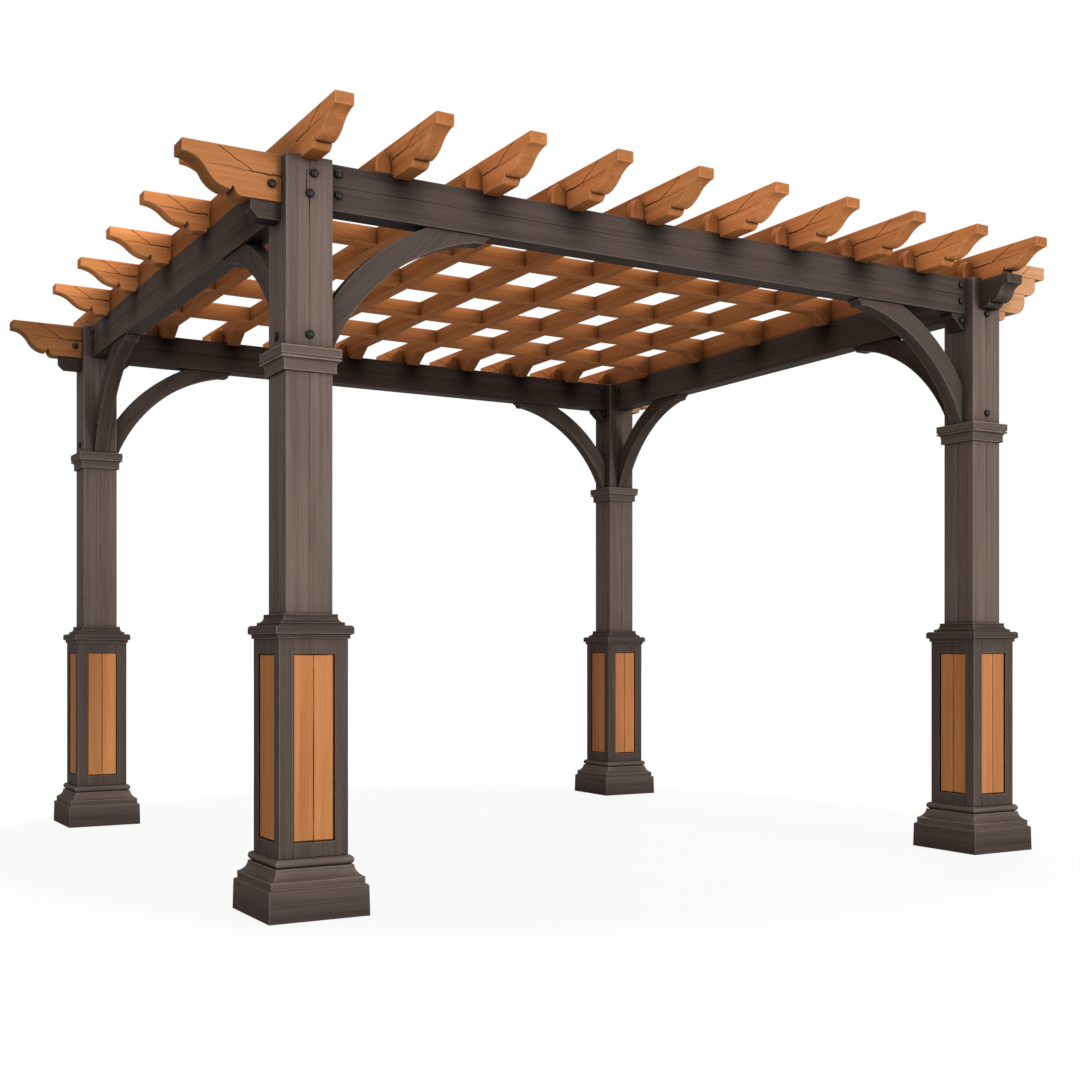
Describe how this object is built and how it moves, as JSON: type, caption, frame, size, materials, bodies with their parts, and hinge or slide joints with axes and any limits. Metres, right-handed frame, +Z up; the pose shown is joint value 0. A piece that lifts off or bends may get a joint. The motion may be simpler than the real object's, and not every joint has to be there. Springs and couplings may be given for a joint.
{
  "type": "wooden pergola",
  "caption": "Open timber pergola: dark posts on panelled pedestals carry beams, curved knee braces and a grid of cedar rafters with scroll-cut ends.",
  "frame": {"origin": "on the ground, under the middle of the roof", "axes": "+X along the front beam, to the right when facing the front; +Y from front to back; +Z up"},
  "size_m": [3.64, 3.23, 2.372],
  "materials": {
    "dark_stain": "dark brown-grey semi-transparent stain over sawn softwood, satin",
    "cedar": "oiled red cedar, satin, with drying cracks",
    "black_iron": "black coated bolt heads"
  },
  "bodies": {
    "root": {"front_left_plinth": "dark_stain", "front_right_plinth": "dark_stain", "back_left_plinth": "dark_stain", "back_right_plinth": "dark_stain", "front_left_pedestal": "dark_stain", "front_right_pedestal": "dark_stain", "back_left_pedestal": "dark_stain", "back_right_pedestal": "dark_stain", "front_left_post": "dark_stain", "front_right_post": "dark_stain", "back_left_post": "dark_stain", "back_right_post": "dark_stain", "front_caps": "dark_stain", "back_caps": "dark_stain", "front_collars": "dark_stain", "back_collars": "dark_stain", "front_beam": "dark_stain", "back_beam": "dark_stain", "left_beam": "dark_stain", "right_beam": "dark_stain", "front_braces": "dark_stain", "back_braces": "dark_stain", "left_braces": "dark_stain", "right_braces": "dark_stain", "stub_tails": "dark_stain", "corbels": "dark_stain", "front_panels": "cedar", "back_panels": "cedar", "rafter_1": "cedar", "rafter_2": "cedar", "rafter_3": "cedar", "rafter_4": "cedar", "rafter_5": "cedar", "rafter_6": "cedar", "rafter_7": "cedar", "rafter_8": "cedar", "rafter_9": "cedar", "rafter_10": "cedar", "cross_rafter_1": "cedar", "cross_rafter_2": "cedar", "cross_rafter_3": "cedar", "cross_rafter_4": "cedar", "cross_rafter_5": "cedar", "corner_tails": "cedar", "stepped_tails": "cedar", "front_cleats": "cedar", "back_cleats": "cedar"}
  },
  "joints": []
}
